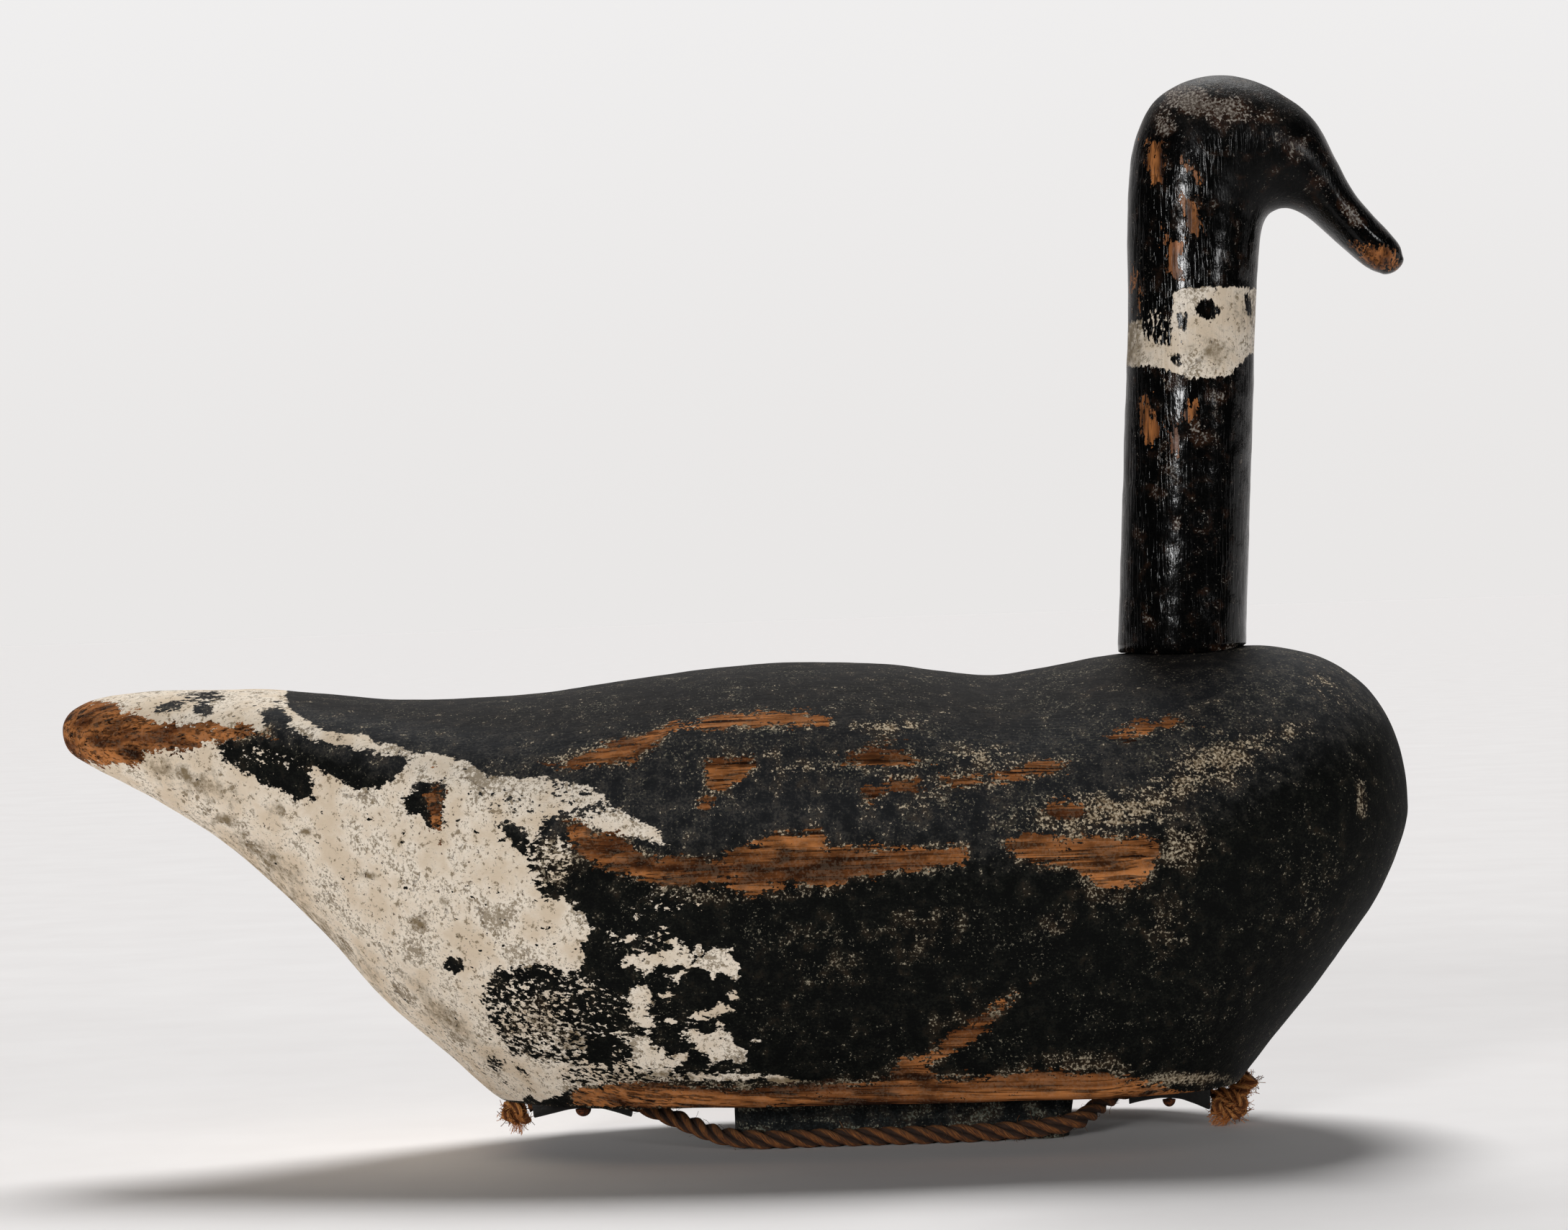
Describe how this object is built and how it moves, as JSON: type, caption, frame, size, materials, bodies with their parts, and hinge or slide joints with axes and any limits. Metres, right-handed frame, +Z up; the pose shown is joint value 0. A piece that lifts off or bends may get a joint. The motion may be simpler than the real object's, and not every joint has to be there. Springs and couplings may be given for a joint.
{
  "type": "goose decoy",
  "caption": "Carved and painted wooden goose decoy with a tall neck, on a short keel board, with a rope held under its belly by leather straps.",
  "frame": {"origin": "centre of the keel board's flat underside, which the decoy stands on", "axes": "+X from the tail to the breast and bill, +Y to the goose's left side, +Z up"},
  "size_m": [0.6167, 0.236, 0.4767],
  "materials": {
    "painted_body": "worn black and cream paint over orange-brown wood, with flakes, chips and bare grain",
    "painted_neck": "glossier black paint with a cream chin band and worn spots",
    "painted_keel": "dull black paint, scuffed and speckled",
    "sisal_rope": "twisted natural fibre, weathered grey-green on top",
    "strap_leather": "blackened, dry and worn at the edges",
    "rusty_nail": "rusted"
  },
  "bodies": {
    "root": {"body": "painted_body", "head_and_neck": "painted_neck", "keel": "painted_keel", "rope": "sisal_rope", "rear_strap": "strap_leather", "rear_strap_nail": "rusty_nail", "front_strap": "strap_leather", "front_strap_nail": "rusty_nail", "rear_knot": "sisal_rope", "front_knot": "sisal_rope"}
  },
  "joints": []
}
